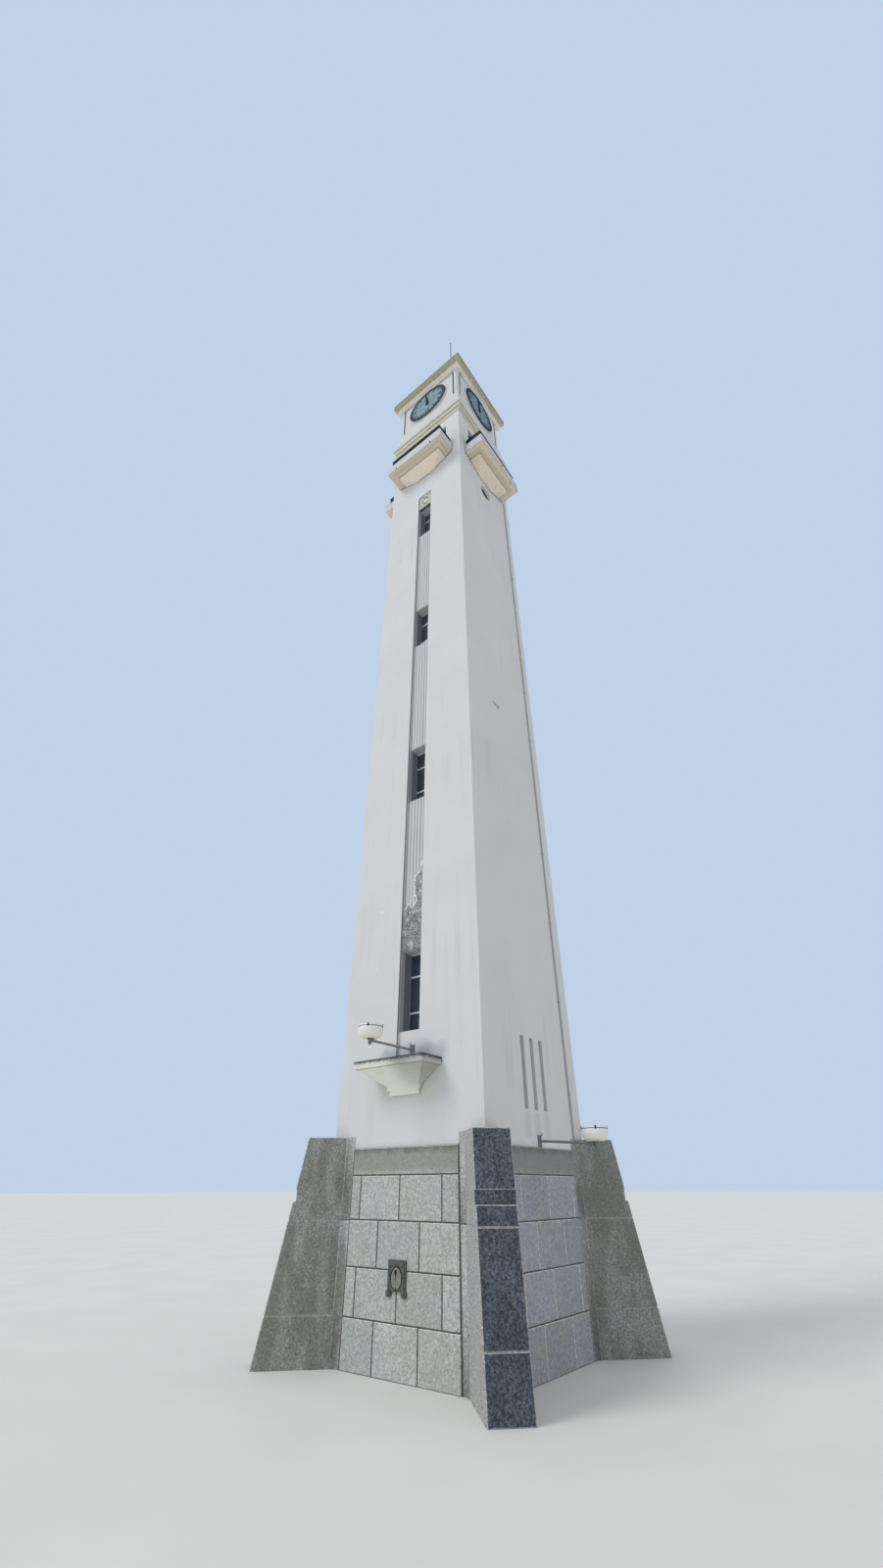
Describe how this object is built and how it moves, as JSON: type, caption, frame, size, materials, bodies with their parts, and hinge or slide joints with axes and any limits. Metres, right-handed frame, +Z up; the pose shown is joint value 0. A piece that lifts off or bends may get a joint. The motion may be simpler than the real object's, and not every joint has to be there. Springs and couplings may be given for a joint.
{
  "type": "clock tower, scale model at 1:2 of full size",
  "caption": "Tall square clock tower that tapers upwards from a stone base with diagonal buttresses to balconies, a clock stage with dials and a flat cornice.",
  "frame": {"origin": "centre of the footprint at ground level, on the foundation's flat underside", "axes": "+Z up the tower, -Y towards the front with the window strip, +X towards the side with the slits and the round window"},
  "size_m": [3.7732, 3.7675, 22.79],
  "materials": {
    "white_plaster": "painted, weathered",
    "cream_plaster": "painted, weathered",
    "grey_stone": "rough",
    "weathered_stone": "rough, stained",
    "floor_concrete": "rough",
    "window_glass": "gloss",
    "window_paint": "satin, weathered",
    "dark_iron": "satin, weathered",
    "grey_metal": "satin",
    "white_enamel": "gloss",
    "dial_paint": "satin",
    "hand_paint": "satin",
    "rod_steel": "dull"
  },
  "bodies": {
    "tower": {"ground_floor": "floor_concrete", "front_base_wall": "grey_stone", "back_base_wall": "grey_stone", "side_base_walls": "grey_stone", "buttresses": "weathered_stone", "plaque": "weathered_stone", "front_wall_piers": "white_plaster", "back_wall_piers": "white_plaster", "strip_ends": "white_plaster", "fluted_panels": "white_plaster", "relief_panels": "cream_plaster", "window_frames": "window_paint", "window_panes": "window_glass", "side_walls_lower": "white_plaster", "side_walls_upper": "white_plaster", "floors": "floor_concrete", "wall_balcony": "cream_plaster", "lamp_arms": "grey_metal", "lamp_bowls": "white_enamel", "conductor_pipe": "grey_metal", "balcony_front": "cream_plaster", "balcony_back": "cream_plaster", "balcony_left": "cream_plaster", "balcony_right": "cream_plaster", "railings": "dark_iron", "belfry_walls_front_back": "white_plaster", "belfry_walls_sides": "white_plaster", "balcony_door_frames": "dark_iron", "balcony_door_panes": "window_glass", "string_course": "cream_plaster", "clock_walls_front_back": "white_plaster", "clock_walls_sides": "white_plaster", "corner_columns": "white_plaster", "cornice": "cream_plaster", "lightning_rod": "rod_steel", "clock_rims": "dark_iron", "dials": "dial_paint"},
    "minute_front_body": {"minute_hand_front": "hand_paint"},
    "hour_front_body": {"hour_hand_front": "hand_paint"},
    "minute_right_body": {"minute_hand_right": "hand_paint"},
    "hour_right_body": {"hour_hand_right": "hand_paint"},
    "minute_back_body": {"minute_hand_back": "hand_paint"},
    "hour_back_body": {"hour_hand_back": "hand_paint"},
    "minute_left_body": {"minute_hand_left": "hand_paint"},
    "hour_left_body": {"hour_hand_left": "hand_paint"}
  },
  "joints": [
    {"name": "minute_front", "type": "hinge", "parent": "tower", "child": "minute_front_body", "pos_m": [0, -1.0795, 20.062], "axis": [0, -1, 0], "continuous": true},
    {"name": "minute_right", "type": "hinge", "parent": "tower", "child": "minute_right_body", "pos_m": [1.0795, 0, 20.062], "axis": [1, 0, 0], "continuous": true},
    {"name": "minute_back", "type": "hinge", "parent": "tower", "child": "minute_back_body", "pos_m": [0, 1.0795, 20.062], "axis": [0, 1, 0], "continuous": true},
    {"name": "minute_left", "type": "hinge", "parent": "tower", "child": "minute_left_body", "pos_m": [-1.0795, 0, 20.062], "axis": [-1, 0, 0], "continuous": true},
    {"name": "hour_front", "type": "hinge", "parent": "tower", "child": "hour_front_body", "pos_m": [0, -1.067, 20.062], "axis": [0, -1, 0], "continuous": true},
    {"name": "hour_right", "type": "hinge", "parent": "tower", "child": "hour_right_body", "pos_m": [1.067, 0, 20.062], "axis": [1, 0, 0], "continuous": true},
    {"name": "hour_back", "type": "hinge", "parent": "tower", "child": "hour_back_body", "pos_m": [0, 1.067, 20.062], "axis": [0, 1, 0], "continuous": true},
    {"name": "hour_left", "type": "hinge", "parent": "tower", "child": "hour_left_body", "pos_m": [-1.067, 0, 20.062], "axis": [-1, 0, 0], "continuous": true}
  ],
  "couplings": [
    {"joint": "hour_front", "follows": "minute_front", "ratio": 0.083333},
    {"joint": "hour_right", "follows": "minute_front", "ratio": 0.083333},
    {"joint": "hour_back", "follows": "minute_front", "ratio": 0.083333},
    {"joint": "hour_left", "follows": "minute_front", "ratio": 0.083333},
    {"joint": "minute_right", "follows": "minute_front", "ratio": 1},
    {"joint": "minute_back", "follows": "minute_front", "ratio": 1},
    {"joint": "minute_left", "follows": "minute_front", "ratio": 1}
  ]
}
